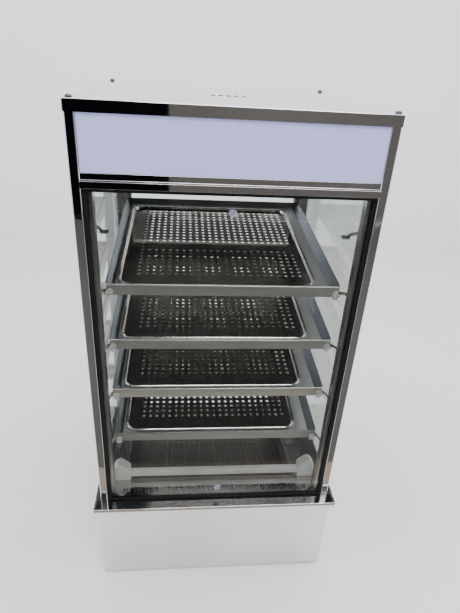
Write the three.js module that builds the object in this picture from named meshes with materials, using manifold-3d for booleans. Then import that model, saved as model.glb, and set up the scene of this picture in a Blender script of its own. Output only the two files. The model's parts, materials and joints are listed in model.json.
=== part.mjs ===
// Heated counter-top bakery display case.
//
// Millimetres, +Z up. The customer stands on the -Y side and +X is to the customer's right.
// The origin is the centre of the footprint, on the surface that the feet stand on.
// Inside the cabinet group, y = 0 is the front plane of the corner posts and y grows to the rear.

import * as THREE from 'three';
import { mergeVertices } from 'three/addons/utils/BufferGeometryUtils.js';
import loadManifold from 'manifold-3d';

const manifold = await loadManifold();
manifold.setup();

// ---------------------------------------------------------------- driving dimensions

const TOTAL_HEIGHT = 1000; // feet to the top of the roof plate
const FRONT_OVERHANG = 26; // rim ledge in front of the posts
const REAR_REACH = 521; // post front plane to the face of the thermostat knob
const FRONT_PLANE_Y = FRONT_OVERHANG - (FRONT_OVERHANG + REAR_REACH) / 2;

const GAP = 0.3; // clearance between pieces that touch
const SHEET = 1.2; // folded sheet steel

const ROOF = { halfWidth: 250, front: -2, rear: 490, edge: 18 };
const POST = { halfSpan: 248, size: 15, depth: 488, wall: 1.2, corner: 2.5 };
const POST_INNER = POST.halfSpan - POST.size; // clear half width between posts

const LEDGE_Z = 203; // top of the rim ledge
const RIM = { halfWidth: 260, rear: 498, lipTop: 206, lipBottom: 192, lip: 3, plate: 1.5 };
const BASE = { halfWidth: 249, front: -22.6, rear: 497, bottom: 2, flange: 14 };
const FOOT = { radius: 15, height: 4, insetX: 34, insetY: 40 };

const HEADER = { bottom: 876, ledge: 887, top: 897, ledgeReach: 9 };
const SEAL = { front: 2, rear: 10, lip: 7 };
const GLASS = 4;

const DOOR = { halfWidth: 231, bottom: 206, top: 873, front: 474, rear: 488, stile: 24 };
const HINGE = { x: 232.6, y: 494, knuckle: 3.5, pin: 1.6, bore: 1.7, height: 50 };
const HINGE_BOTTOMS = { lower: 300, upper: 735 };

const FLOOR_Z = LEDGE_Z + GAP;
const STANDARD = { outer: 232, inner: 220, depth: 14, wall: 1.5, frontY: 12, rearY: 448, top: 872 };

const SHELF = { halfWidth: 218, depth: 412, height: 22, front: 56, wall: 2.5, foot: 15 };
const FLANGE = { top: -14, bottom: -15.5, side: 58, end: 42 }; // the tray's seat inside a shelf
const SHELF_TILT = Math.atan(0.118);
const TOP_SHELF_Z = 690.5; // top front edge of the uppermost shelf
const SHELF_PITCH = 116;
const SHELF_COUNT = 4;
const HOOK_LEVELS = SHELF_COUNT + 1; // one spare level above the shelves

const TRAY = { left: -200, right: 177, front: 16, rear: 380, rim: 5, corner: 27, top: -6.5, bottom: -13.7 };

const KNOB = { x: 120, z: 120, radius: 20 };
const SWITCH = { z: 120, tilt: THREE.MathUtils.degToRad(8) };
const POWER_SWITCH_X = 20;
const LAMP_SWITCH_X = -40;
const PILOT_X = 70;
const INLET = { x: -170, z: 60 };
const PANEL_FACE = BASE.rear + GAP; // outer face of the rear panel

// ---------------------------------------------------------------- materials

function finish(color, roughness, metalness, extra = {}) {
  return new THREE.MeshStandardMaterial({ color, roughness, metalness, ...extra });
}

const mirrorSteel = finish(0xc8c9cb, 0.06, 1);
const satinSteel = finish(0xa9a7a2, 0.35, 1);
const traySteel = finish(0x8a8783, 0.22, 1);
const darkSteel = finish(0x4a4a4c, 0.4, 1);
const clearGlass = finish(0xe6efec, 0.03, 0, { transparent: true, opacity: 0.25 });
const signAcrylic = finish(0xdfe2f4, 0.3, 0);
const blackRubber = finish(0x121214, 0.6, 0);
const whitePlastic = finish(0xe9e9e4, 0.4, 0);
const blackPlastic = finish(0x1b1b1d, 0.4, 0);
const clearPlastic = finish(0xb9b4cf, 0.2, 0);
const redLens = finish(0xb02018, 0.2, 0);

// ---------------------------------------------------------------- geometry helpers

function box(x0, x1, y0, y1, z0, z1) {
  const geometry = new THREE.BoxGeometry(x1 - x0, y1 - y0, z1 - z0);
  return geometry.translate((x0 + x1) / 2, (y0 + y1) / 2, (z0 + z1) / 2);
}

function toSolid(geometry) {
  const bare = geometry.clone();
  bare.deleteAttribute('normal');
  bare.deleteAttribute('uv');
  const merged = mergeVertices(bare, 1e-4);
  const mesh = new manifold.Mesh({
    numProp: 3,
    vertProperties: new Float32Array(merged.attributes.position.array),
    triVerts: new Uint32Array(merged.index.array),
  });
  return new manifold.Manifold(mesh);
}

function toGeometry(solid) {
  const mesh = solid.getMesh();
  const geometry = new THREE.BufferGeometry();
  geometry.setAttribute('position', new THREE.BufferAttribute(mesh.vertProperties, 3));
  geometry.setIndex(new THREE.BufferAttribute(mesh.triVerts, 1));
  geometry.computeVertexNormals();
  return geometry;
}

function join(...geometries) {
  const solids = geometries.map(toSolid);
  return toGeometry(solids.reduce((whole, solid) => whole.add(solid)));
}

function cut(geometry, ...tools) {
  const solids = tools.map(toSolid);
  return toGeometry(solids.reduce((rest, tool) => rest.subtract(tool), toSolid(geometry)));
}

function roundedRectangle(x0, x1, y0, y1, radius, ShapeClass = THREE.Shape) {
  const outline = new ShapeClass();
  outline.moveTo(x0 + radius, y0);
  outline.absarc(x1 - radius, y0 + radius, radius, -Math.PI / 2, 0, false);
  outline.absarc(x1 - radius, y1 - radius, radius, 0, Math.PI / 2, false);
  outline.absarc(x0 + radius, y1 - radius, radius, Math.PI / 2, Math.PI, false);
  outline.absarc(x0 + radius, y0 + radius, radius, Math.PI, 1.5 * Math.PI, false);
  return outline;
}

function extrudeUp(shape, z0, z1, curveSegments = 4) {
  const options = { depth: z1 - z0, bevelEnabled: false, curveSegments };
  return new THREE.ExtrudeGeometry(shape, options).translate(0, 0, z0);
}

// The shape's own x and y become the world's y and z.
function extrudeAcross(shape, x0, x1) {
  const options = { depth: x1 - x0, bevelEnabled: false, curveSegments: 4 };
  const turn = new THREE.Matrix4().makeBasis(
    new THREE.Vector3(0, 1, 0),
    new THREE.Vector3(0, 0, 1),
    new THREE.Vector3(1, 0, 0),
  );
  return new THREE.ExtrudeGeometry(shape, options).applyMatrix4(turn).translate(x0, 0, 0);
}

// An outline in x and z, drawn out from y0 back to y1.
function extrudeBack(shape, y0, y1) {
  const geometry = new THREE.ExtrudeGeometry(shape, { depth: y1 - y0, bevelEnabled: false });
  return geometry.rotateX(Math.PI / 2).translate(0, y1, 0);
}

// A folded sheet's section: the outer line, and the same line moved one thickness to its left.
function foldedSection(line, thickness) {
  const points = line.map(([a, b]) => new THREE.Vector2(a, b));
  const leftOf = (from, to) => {
    const along = to.clone().sub(from).normalize();
    return new THREE.Vector2(-along.y, along.x);
  };
  const inner = points.map((point, i) => {
    const before = i > 0 ? leftOf(points[i - 1], point) : leftOf(point, points[i + 1]);
    const after = i < points.length - 1 ? leftOf(point, points[i + 1]) : before;
    const mitre = before.clone().add(after).multiplyScalar(thickness / (1 + before.dot(after)));
    return point.clone().add(mitre);
  });
  return new THREE.Shape([...points, ...inner.reverse()]);
}

function roundSection(radius, sides) {
  const circle = new THREE.EllipseCurve(0, 0, radius, radius);
  return new THREE.Shape(circle.getPoints(sides).slice(0, sides));
}

function cylinderAlong(axis, radius, length, centre, sides = 12) {
  const geometry = new THREE.CylinderGeometry(radius, radius, length, sides);
  if (axis === 'x') geometry.rotateZ(Math.PI / 2);
  if (axis === 'z') geometry.rotateX(Math.PI / 2);
  return geometry.translate(...centre);
}

// A turned piece: profile of [radius, height] pairs that starts and ends on the axis.
function turned(profile, sides = 16) {
  const points = profile.map(([radius, height]) => new THREE.Vector2(radius, height));
  return new THREE.LatheGeometry(points, sides);
}

// ---------------------------------------------------------------- scene graph

const displayCase = new THREE.Group();
const cabinet = new THREE.Group();
cabinet.position.y = FRONT_PLANE_Y;
displayCase.add(cabinet);

function addPiece(name, geometry, material, parent = cabinet) {
  const mesh = new THREE.Mesh(geometry, material);
  mesh.name = name;
  parent.add(mesh);
  return mesh;
}

const SIDES = [
  ['left', -1],
  ['right', 1],
];

// ---------------------------------------------------------------- base

function baseShell() {
  const { halfWidth, front, rear, flange } = BASE;
  const wrap = foldedSection(
    [
      [-halfWidth + flange, rear - SHEET - GAP],
      [-halfWidth, rear - SHEET - GAP],
      [-halfWidth, front],
      [halfWidth, front],
      [halfWidth, rear - SHEET - GAP],
      [halfWidth - flange, rear - SHEET - GAP],
    ],
    SHEET,
  );
  return extrudeUp(wrap, BASE.bottom, LEDGE_Z - RIM.plate - GAP);
}

function baseBottomPlate() {
  const inset = SHEET + GAP;
  const plate = box(
    -BASE.halfWidth + inset,
    BASE.halfWidth - inset,
    BASE.front + inset,
    BASE.rear - 2 * inset - GAP,
    FOOT.height + GAP,
    FOOT.height + GAP + SHEET,
  );
  const slots = [];
  for (const [, side] of SIDES) {
    for (let row = 0; row < 6; row += 1) {
      const x = side * 100;
      const y = 190 + row * 22;
      slots.push(box(x - 40, x + 40, y, y + 6, 0, 10));
    }
  }
  return cut(plate, ...slots);
}

function foot() {
  const { radius, height } = FOOT;
  const profile = [
    [0, 0],
    [radius - 1, 0],
    [radius, 1],
    [radius - 2, height],
    [0, height],
  ];
  return turned(profile).rotateX(Math.PI / 2);
}

function rimLedge() {
  const { halfWidth, rear, lipTop, lipBottom, lip, plate } = RIM;
  const front = -FRONT_OVERHANG;
  const ring = cut(
    box(-halfWidth, halfWidth, front, rear, LEDGE_Z - plate, LEDGE_Z),
    box(-222, 222, 12, 462, LEDGE_Z - 10, LEDGE_Z + 10),
  );
  return join(
    ring,
    box(-halfWidth, halfWidth, front, front + lip, lipBottom, lipTop),
    box(-halfWidth, -halfWidth + lip, front, rear, lipBottom, lipTop),
    box(halfWidth - lip, halfWidth, front, rear, lipBottom, lipTop),
  );
}

function floorPan() {
  const halfWidth = POST_INNER - 0.5;
  const plate = box(-halfWidth, halfWidth, 10.6, 472, FLOOR_Z, FLOOR_Z + SHEET);
  const slotPitch = 6.3;
  const slotCount = 65;
  const slots = [];
  for (let i = 0; i < slotCount; i += 1) {
    const x = (i - (slotCount - 1) / 2) * slotPitch;
    slots.push(box(x - 1.4, x + 1.4, 20, 34, FLOOR_Z - 5, FLOOR_Z + 5));
  }
  return cut(plate, ...slots);
}

function heatingElement() {
  const z = 150;
  const reach = 130;
  const bend = 60;
  const frontY = 90;
  const rearY = 440;
  const at = (x, y) => new THREE.Vector3(x, y, z);
  const route = new THREE.CurvePath();
  route.add(new THREE.LineCurve3(at(reach, rearY), at(reach, frontY + bend)));
  route.add(
    new THREE.QuadraticBezierCurve3(
      at(reach, frontY + bend),
      at(reach, frontY),
      at(reach - bend, frontY),
    ),
  );
  route.add(new THREE.LineCurve3(at(reach - bend, frontY), at(bend - reach, frontY)));
  route.add(
    new THREE.QuadraticBezierCurve3(
      at(bend - reach, frontY),
      at(-reach, frontY),
      at(-reach, frontY + bend),
    ),
  );
  route.add(new THREE.LineCurve3(at(-reach, frontY + bend), at(-reach, rearY)));
  const rod = new THREE.ExtrudeGeometry(roundSection(4, 6), { steps: 28, extrudePath: route });
  const bars = [120, 400].flatMap((y) => [
    box(-reach - 6, reach + 6, y - 5, y + 5, z - 7, z - 3),
    box(-reach - 6, -reach - 2, y - 5, y + 5, FOOT.height + 2 * GAP + SHEET, z - 4),
    box(reach + 2, reach + 6, y - 5, y + 5, FOOT.height + 2 * GAP + SHEET, z - 4),
  ]);
  return join(rod, ...bars);
}

addPiece('base_shell', baseShell(), mirrorSteel);
addPiece('base_bottom_plate', baseBottomPlate(), satinSteel);
for (const [side, sign] of SIDES) {
  const x = sign * (BASE.halfWidth - FOOT.insetX);
  const ends = [
    ['front', BASE.front + FOOT.insetY],
    ['rear', BASE.rear - FOOT.insetY],
  ];
  for (const [end, y] of ends) {
    addPiece(`foot_${end}_${side}`, foot(), blackRubber).position.set(x, y, 0);
  }
}
addPiece('rim_ledge', rimLedge(), mirrorSteel);
addPiece('floor_pan', floorPan(), mirrorSteel);
addPiece('heating_element', heatingElement(), darkSteel);

// ---------------------------------------------------------------- rear panel and controls

function rearPanel() {
  const { halfWidth, rear, bottom } = BASE;
  const through = [rear - 10, rear + 10];
  const panel = box(-halfWidth, halfWidth, rear - SHEET, rear, bottom, LEDGE_Z - RIM.plate - GAP);
  const holes = [
    cylinderAlong('y', 4.5, 20, [KNOB.x, rear, KNOB.z]),
    cylinderAlong('y', 5, 20, [PILOT_X, rear, SWITCH.z]),
    box(POWER_SWITCH_X - 13.8, POWER_SWITCH_X + 13.8, ...through, SWITCH.z - 10.3, SWITCH.z + 10.3),
    box(LAMP_SWITCH_X - 13.8, LAMP_SWITCH_X + 13.8, ...through, SWITCH.z - 10.3, SWITCH.z + 10.3),
    box(INLET.x - 14.3, INLET.x + 14.3, ...through, INLET.z - 11.3, INLET.z + 11.3),
  ];
  for (let row = 0; row < 5; row += 1) {
    const z = 45 + row * 8;
    holes.push(box(-60, 60, ...through, z, z + 3));
  }
  return cut(panel, ...holes);
}

function thermostatBody() {
  const inner = BASE.rear - SHEET - GAP;
  const housing = box(KNOB.x - 20, KNOB.x + 20, inner - 26, inner, KNOB.z - 20, KNOB.z + 20);
  const shaftLength = 18;
  const shaft = cylinderAlong('y', 3, shaftLength, [KNOB.x, inner + shaftLength / 2 - 2, KNOB.z]);
  return join(housing, shaft);
}

function thermostatKnob() {
  const depth = REAR_REACH - PANEL_FACE - 0.7;
  const grip = KNOB.radius - 3;
  const profile = [
    [0, 14.5],
    [3.4, 14.5],
    [3.4, 0],
    [KNOB.radius, 0],
    [KNOB.radius, 4],
    [grip, 6],
    [grip - 1, depth - 3],
    [grip - 3, depth - 1],
    [0, depth - 1],
  ];
  const pointer = box(-1.5, 1.5, depth - 2, depth, 2, grip - 2);
  return join(turned(profile, 24), pointer);
}

function switchHousing() {
  const outer = box(-15, 15, 0, 2, -12, 12);
  const body = box(-13.5, 13.5, -19, 0.5, -10, 10);
  const cavity = box(-10, 10, -13, 5, -8, 8);
  return cut(join(outer, body), cavity);
}

// A shallow V rocker about the x axis, drawn level.
function switchRocker() {
  const profile = new THREE.Shape(
    [
      [-4, -5],
      [4.5, -6.6],
      [7, -6.6],
      [4.5, 0],
      [7, 6.6],
      [4.5, 6.6],
      [-4, 5],
    ].map(([y, z]) => new THREE.Vector2(y, z)),
  );
  return extrudeAcross(profile, -9.6, 9.6);
}

function powerInlet() {
  const flange = box(-24, 24, 0, 2, -14, 14);
  const body = box(-14, 14, -18, 0.5, -11, 11);
  const recess = box(-12, 12, -15, 5, -9, 9);
  const pins = [
    [-7, 1],
    [0, 5],
    [7, 1],
  ].map(([x, z]) => box(x - 1, x + 1, -16, -4, z - 2, z + 2));
  return join(cut(join(flange, body), recess), ...pins);
}

function pilotLight() {
  const profile = [
    [0, -14],
    [4.4, -14],
    [4.4, 0],
    [7, 0],
    [7, 1],
    [5, 3],
    [0, 4],
  ];
  return turned(profile);
}

addPiece('base_rear_panel', rearPanel(), satinSteel);
addPiece('thermostat_body', thermostatBody(), blackPlastic);
addPiece('thermostat_knob', thermostatKnob(), blackPlastic).position.set(KNOB.x, PANEL_FACE + 0.7, KNOB.z);
const SWITCHES = [
  ['power_switch', POWER_SWITCH_X],
  ['lamp_switch', LAMP_SWITCH_X],
];
for (const [name, x] of SWITCHES) {
  addPiece(`${name}_housing`, switchHousing(), blackPlastic).position.set(x, PANEL_FACE, SWITCH.z);
  const rocker = addPiece(`${name}_rocker`, switchRocker(), blackPlastic);
  rocker.position.set(x, PANEL_FACE - 4, SWITCH.z);
  rocker.rotation.x = SWITCH.tilt;
}
addPiece('power_inlet', powerInlet(), blackPlastic).position.set(INLET.x, PANEL_FACE, INLET.z);
addPiece('pilot_light', pilotLight(), redLens).position.set(PILOT_X, PANEL_FACE, SWITCH.z);

// ---------------------------------------------------------------- posts, header and roof

function post() {
  const { size, wall, corner } = POST;
  const outline = roundedRectangle(0, size, 0, size, corner);
  const bore = roundedRectangle(wall, size - wall, wall, size - wall, corner - wall, THREE.Path);
  outline.holes.push(bore);
  return extrudeUp(outline, FLOOR_Z, TOTAL_HEIGHT - SHEET - GAP, 3);
}

function headerRail() {
  const { bottom, ledge, top, ledgeReach } = HEADER;
  const section = foldedSection(
    [
      [SHEET, bottom],
      [-ledgeReach, bottom],
      [-ledgeReach, ledge],
      [SHEET, ledge],
      [SHEET, top],
      [12, top],
    ].reverse(),
    SHEET,
  );
  return extrudeAcross(section, -POST_INNER + 0.5, POST_INNER - 0.5);
}

// Floor, side walls and rear wall of the lamp compartment.
function headerBox() {
  const half = POST.halfSpan - 2;
  const between = POST_INNER - 0.5;
  const front = POST.size + GAP;
  const rear = POST.depth - POST.size - GAP;
  const z0 = HEADER.bottom - 0.1;
  const z1 = TOTAL_HEIGHT - 4;
  return join(
    box(-between, between, SHEET + 0.4, POST.depth - 1, z0, z0 + SHEET),
    box(-half, half, front, rear, z0, z0 + SHEET),
    box(-half, -half + SHEET, front, rear, z0, z1),
    box(half - SHEET, half, front, rear, z0, z1),
    box(-between, between, POST.depth - 1 - SHEET, POST.depth - 1, z0, z1),
  );
}

function roofCap() {
  const { halfWidth, front, rear, edge } = ROOF;
  const skirt = TOTAL_HEIGHT - edge;
  const shell = cut(
    extrudeUp(roundedRectangle(-halfWidth, halfWidth, front, rear, 2), skirt, TOTAL_HEIGHT, 2),
    box(
      -halfWidth + SHEET,
      halfWidth - SHEET,
      front + SHEET,
      rear - SHEET,
      skirt - 10,
      TOTAL_HEIGHT - SHEET,
    ),
  );
  const holes = roofScrewPlaces().map(([, x, y]) => cylinderAlong('z', 2.5, 20, [x, y, TOTAL_HEIGHT], 8));
  for (let i = 0; i < 7; i += 1) {
    const y = i % 2 === 0 ? 186 : 196;
    holes.push(cylinderAlong('z', 2.2, 20, [(i - 3) * 9, y, TOTAL_HEIGHT], 6));
  }
  return cut(shell, ...holes);
}

function roofScrewPlaces() {
  const x = POST.halfSpan - POST.size / 2;
  return SIDES.flatMap(([side, sign]) => [
    [`front_${side}`, sign * x, POST.size / 2],
    [`rear_${side}`, sign * x, POST.depth - POST.size / 2],
  ]);
}

function roofScrew() {
  const profile = [
    [0, -16],
    [2, -16],
    [2, 0],
    [5.5, 0],
    [5.3, 1.2],
    [4.3, 2.8],
    [2.3, 3.8],
    [0, 4],
  ];
  return turned(profile).rotateX(Math.PI / 2);
}

function signLamp() {
  const floor = HEADER.bottom + SHEET + GAP;
  const ends = [-1, 1].map((sign) => box(sign * 194 - 4, sign * 194 + 4, 62, 88, floor + 8, 926));
  return join(
    box(-205, 205, 55, 95, floor, floor + 14),
    cylinderAlong('x', 8, 384, [0, 75, 915], 10),
    ...ends,
  );
}

for (const [side, sign] of SIDES) {
  const x = sign > 0 ? POST_INNER : -POST.halfSpan;
  addPiece(`post_front_${side}`, post(), mirrorSteel).position.set(x, 0, 0);
  addPiece(`post_rear_${side}`, post(), mirrorSteel).position.set(x, POST.depth - POST.size, 0);
}
addPiece('header_rail', headerRail(), mirrorSteel);
addPiece('header_box', headerBox(), mirrorSteel);
addPiece('roof_cap', roofCap(), mirrorSteel);
for (const [place, x, y] of roofScrewPlaces()) {
  addPiece(`roof_screw_${place}`, roofScrew(), mirrorSteel).position.set(x, y, TOTAL_HEIGHT + GAP);
}
const signHalf = POST_INNER - 0.5;
addPiece('sign_panel', box(-signHalf, signHalf, 1.5, 4.5, HEADER.top + GAP, TOTAL_HEIGHT - 4), signAcrylic);
addPiece('sign_lamp', signLamp(), whitePlastic);

// ---------------------------------------------------------------- glazing

const FRONT_GLASS = { half: POST_INNER - 3, bottom: 205.5, top: 873.3, front: 4 };

function frontGlass(extra = 0) {
  const { half, bottom, top, front } = FRONT_GLASS;
  return box(
    -half - extra,
    half + extra,
    front - extra,
    front + GLASS + extra,
    bottom - extra,
    top + extra,
  );
}

function frontGlassSeal() {
  const outer = POST_INNER - 0.4;
  const bottom = LEDGE_Z + GAP;
  const top = HEADER.bottom - 0.4;
  const ring = cut(
    box(-outer, outer, SEAL.front, SEAL.rear, bottom, top),
    box(-outer + SEAL.lip, outer - SEAL.lip, -5, 20, bottom + SEAL.lip, top - SEAL.lip),
  );
  return cut(ring, frontGlass(0.2));
}

function sideGlass() {
  const front = POST.size + 0.4;
  return box(0, GLASS, front, POST.depth - front, LEDGE_Z + GAP, HEADER.bottom - 0.4);
}

function glassPad() {
  return cylinderAlong('y', 6.5, 3.9, [0, 1.75, 0], 16);
}

addPiece('front_glass', frontGlass(), clearGlass);
addPiece('front_glass_seal', frontGlassSeal(), blackRubber);
addPiece('left_glass', sideGlass(), clearGlass).position.x = -POST.halfSpan + 2;
addPiece('right_glass', sideGlass(), clearGlass).position.x = POST.halfSpan - 2 - GLASS;
addPiece('glass_pad_upper', glassPad(), clearPlastic).position.z = 842;
addPiece('glass_pad_lower', glassPad(), clearPlastic).position.z = 235;

// ---------------------------------------------------------------- shelves

function shelfMatrix(level) {
  const z = TOP_SHELF_Z - level * SHELF_PITCH;
  const tilt = new THREE.Matrix4().makeRotationX(SHELF_TILT);
  return tilt.setPosition(0, SHELF.front, z);
}

// Tilted coordinates of a shelf: x across, y back from its front edge, z up from its top edge.
const HOOK_LIP = { bottom: -SHELF.height - 2.4, top: -SHELF.height - 0.4, reach: 12 };

// A slender curved prong that runs back and down beside the shelf, with a lip under its side wall.
const FRONT_PRONG = [
  [-42, 7],
  [-24, 4],
  [-6, -6],
  [16, -20],
  [16, HOOK_LIP.bottom],
  [2, -18.5],
  [-12, -9],
  [-27, -1.5],
  [-42, 1],
];
const REAR_PRONG = [
  [396, 0],
  [408, 0],
  [408, HOOK_LIP.bottom],
  [396, HOOK_LIP.bottom],
];

function hook(sign, prong, lipFront, lipRear) {
  const outer = sign * (STANDARD.inner + 0.6);
  const inner = sign * (SHELF.halfWidth + 0.4);
  const lipEnd = sign * (SHELF.halfWidth - HOOK_LIP.reach);
  const shape = new THREE.Shape(prong.map(([y, z]) => new THREE.Vector2(y, z)));
  return join(
    extrudeAcross(shape, Math.min(outer, inner), Math.max(outer, inner)),
    box(
      Math.min(outer, lipEnd),
      Math.max(outer, lipEnd),
      lipFront,
      lipRear,
      HOOK_LIP.bottom,
      HOOK_LIP.top,
    ),
  );
}

function slottedChannel(sign) {
  const { outer, inner, depth, wall, top } = STANDARD;
  const section = foldedSection(
    [
      [outer, depth],
      [inner, depth],
      [inner, 0],
      [outer, 0],
    ],
    -wall,
  );
  const channel = extrudeUp(section, FLOOR_Z + SHEET + GAP, top);
  const slots = [];
  for (let z = 232; z < top - 20; z += 29) {
    slots.push(box(inner - 5, inner + 5, depth / 2 - 1.5, depth / 2 + 1.5, z, z + 14));
  }
  const slotted = cut(channel, ...slots);
  return sign > 0 ? slotted : mirroredInX(slotted);
}

// A mirror image, with each triangle's corners swapped so that its face still points out.
function mirroredInX(geometry) {
  geometry.scale(-1, 1, 1);
  const index = geometry.index;
  for (let i = 0; i < index.count; i += 3) {
    const a = index.getX(i);
    index.setX(i, index.getX(i + 2));
    index.setX(i + 2, a);
  }
  return geometry;
}

function standard(sign, y, ...hookShape) {
  const channel = slottedChannel(sign).translate(0, y, 0);
  const hooks = [];
  for (let level = -1; level < HOOK_LEVELS - 1; level += 1) {
    hooks.push(hook(sign, ...hookShape).applyMatrix4(shelfMatrix(level)));
  }
  return join(channel, ...hooks);
}

for (const [side, sign] of SIDES) {
  addPiece(`standard_front_${side}`, standard(sign, STANDARD.frontY, FRONT_PRONG, 3, 16), satinSteel);
  addPiece(`standard_rear_${side}`, standard(sign, STANDARD.rearY, REAR_PRONG, 396, 408), satinSteel);
}

const WIRE_COUNT = 11;
const WIRE_PITCH = 33;

// A side rail, thin at its top edge and wide at its foot, where the flange begins.
function sideRail(sign) {
  const { halfWidth, depth, height, wall, foot } = SHELF;
  const section = [
    [halfWidth, -height],
    [halfWidth, 0],
    [halfWidth - wall, 0],
    [halfWidth - foot, FLANGE.top],
    [halfWidth - foot, -height],
  ];
  const shape = new THREE.Shape(section.map(([x, z]) => new THREE.Vector2(sign * x, z)));
  return extrudeBack(shape, 0, depth);
}

// Rails all round, a wide flat flange inside them and wires across the opening.
function shelfFrame() {
  const { halfWidth, depth, height, wall } = SHELF;
  const { top, bottom, side, end } = FLANGE;
  const flange = cut(
    box(-halfWidth + 5, halfWidth - 5, 1, depth - 1, bottom, top),
    box(-halfWidth + side, halfWidth - side, end, depth - end, bottom - 10, 0),
  );
  const wires = [];
  for (let i = 0; i < WIRE_COUNT; i += 1) {
    const x = (i - (WIRE_COUNT - 1) / 2) * WIRE_PITCH;
    wires.push(cylinderAlong('y', 1.7, depth - 10, [x, depth / 2, bottom - 0.6], 4));
  }
  return join(
    sideRail(-1),
    sideRail(1),
    box(-halfWidth + 1, halfWidth - 1, 0, wall, -height, 0),
    box(-halfWidth + 1, halfWidth - 1, depth - wall, depth, -height, 0),
    flange,
    ...wires,
  );
}

function trayBand(inset, width, z0, z1) {
  const { left, right, front, rear, corner } = TRAY;
  const shape = roundedRectangle(left + inset, right - inset, front + inset, rear - inset, corner - inset);
  if (width > 0) {
    const t = inset + width;
    shape.holes.push(roundedRectangle(left + t, right - t, front + t, rear - t, corner - t, THREE.Path));
  }
  return extrudeUp(shape, z0, z1, 3);
}

function shelfTray() {
  const { rim, top, bottom } = TRAY;
  const wall = 1;
  return join(
    trayBand(rim, 0, bottom, bottom + wall),
    trayBand(rim, wall, bottom, top),
    trayBand(0, rim + wall, top - 3, top),
  );
}

for (let level = 0; level < SHELF_COUNT; level += 1) {
  const shelf = new THREE.Group();
  shelf.position.set(0, SHELF.front, TOP_SHELF_Z - level * SHELF_PITCH);
  shelf.rotation.x = SHELF_TILT;
  cabinet.add(shelf);
  addPiece(`shelf_frame_${level + 1}`, shelfFrame(), satinSteel, shelf);
  addPiece(`shelf_tray_${level + 1}`, shelfTray(), traySteel, shelf);
}

// ---------------------------------------------------------------- floor lamp

const FLOOR_LAMP = { front: 58, rear: 71, bottom: 213.5, top: 229, edge: 2.5 }; // the lit bar
const LAMP_HOLDER = { inner: 190.5, outer: 227, y: 67, depth: 24 };

function lampHolder(sign) {
  const { inner, outer, y, depth } = LAMP_HOLDER;
  const outline = new THREE.Shape(
    [
      [inner, 0],
      [outer, 0],
      [outer, 32],
      [outer - 5, 41],
      [outer - 10, 46],
      [outer - 19, 46],
      [inner, 31],
    ].map(([x, z]) => new THREE.Vector2(x, z)),
  );
  const holder = extrudeBack(outline, y - depth / 2, y + depth / 2);
  holder.translate(0, 0, FLOOR_Z + SHEET + GAP);
  return sign > 0 ? holder : holder.rotateZ(Math.PI).translate(0, 2 * y, 0);
}

function floorLampBar() {
  const { front, rear, bottom, top, edge } = FLOOR_LAMP;
  const reach = LAMP_HOLDER.inner - GAP;
  return extrudeAcross(roundedRectangle(front, rear, bottom, top, edge), -reach, reach);
}

addPiece('floor_lamp_bar', floorLampBar(), whitePlastic);
for (const [side, sign] of SIDES) {
  addPiece(`floor_lamp_holder_${side}`, lampHolder(sign), whitePlastic);
}

// ---------------------------------------------------------------- rear door

function doorGlass(extra = 0) {
  const half = DOOR.halfWidth - DOOR.stile + 5;
  return box(
    -half - extra,
    half + extra,
    479 - extra,
    479 + GLASS + extra,
    DOOR.bottom + DOOR.stile - 5 - extra,
    DOOR.top - DOOR.stile + 5 + extra,
  );
}

function doorFrame() {
  const { halfWidth, bottom, top, front, rear, stile } = DOOR;
  const ring = cut(
    box(-halfWidth, halfWidth, front, rear, bottom, top),
    box(-halfWidth + stile, halfWidth - stile, front - 5, rear + 5, bottom + stile, top - stile),
  );
  return cut(ring, doorGlass(0.25));
}

function doorHandle() {
  const x = -DOOR.halfWidth + DOOR.stile / 2;
  const wall = DOOR.rear + GAP;
  const reach = 512;
  const [low, high, bend] = [482, 602, 12];
  const at = (y, z) => new THREE.Vector3(x, y, z);
  const route = new THREE.CurvePath();
  route.add(new THREE.LineCurve3(at(wall, low), at(reach - bend, low)));
  const turn = (a, b, c) => route.add(new THREE.QuadraticBezierCurve3(a, b, c));
  turn(at(reach - bend, low), at(reach, low), at(reach, low + bend));
  route.add(new THREE.LineCurve3(at(reach, low + bend), at(reach, high - bend)));
  turn(at(reach, high - bend), at(reach, high), at(reach - bend, high));
  route.add(new THREE.LineCurve3(at(reach - bend, high), at(wall, high)));
  return new THREE.ExtrudeGeometry(roundSection(4.5, 8), { steps: 24, extrudePath: route });
}

// The post's leaf carries the lower knuckle and the pin. The door's leaf carries the upper knuckle.
function hingeLeafPost() {
  const { x, y, knuckle, pin, height } = HINGE;
  const half = height / 2;
  const plateY = DOOR.rear + GAP;
  return join(
    box(x + 1, x + 14, plateY, plateY + 2, 0, height),
    box(x, x + 3, plateY, y, 0, half - 0.2),
    cylinderAlong('z', knuckle, half - 0.2, [x, y, (half - 0.2) / 2], 16),
    cylinderAlong('z', pin, height - 2, [x, y, height / 2], 16),
  );
}

function hingeLeafDoor() {
  const { x, y, knuckle, bore, height } = HINGE;
  const half = height / 2;
  const plateY = DOOR.rear + GAP;
  const leaf = join(
    box(x - 14, x - 1.5, plateY, plateY + 2, 0, height),
    box(x - 3, x, plateY, y, half + 0.2, height),
    cylinderAlong('z', knuckle, half - 0.2, [x, y, height - (half - 0.2) / 2], 16),
  );
  return cut(leaf, cylinderAlong('z', bore, half, [x, y, half + half / 2], 16));
}

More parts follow.
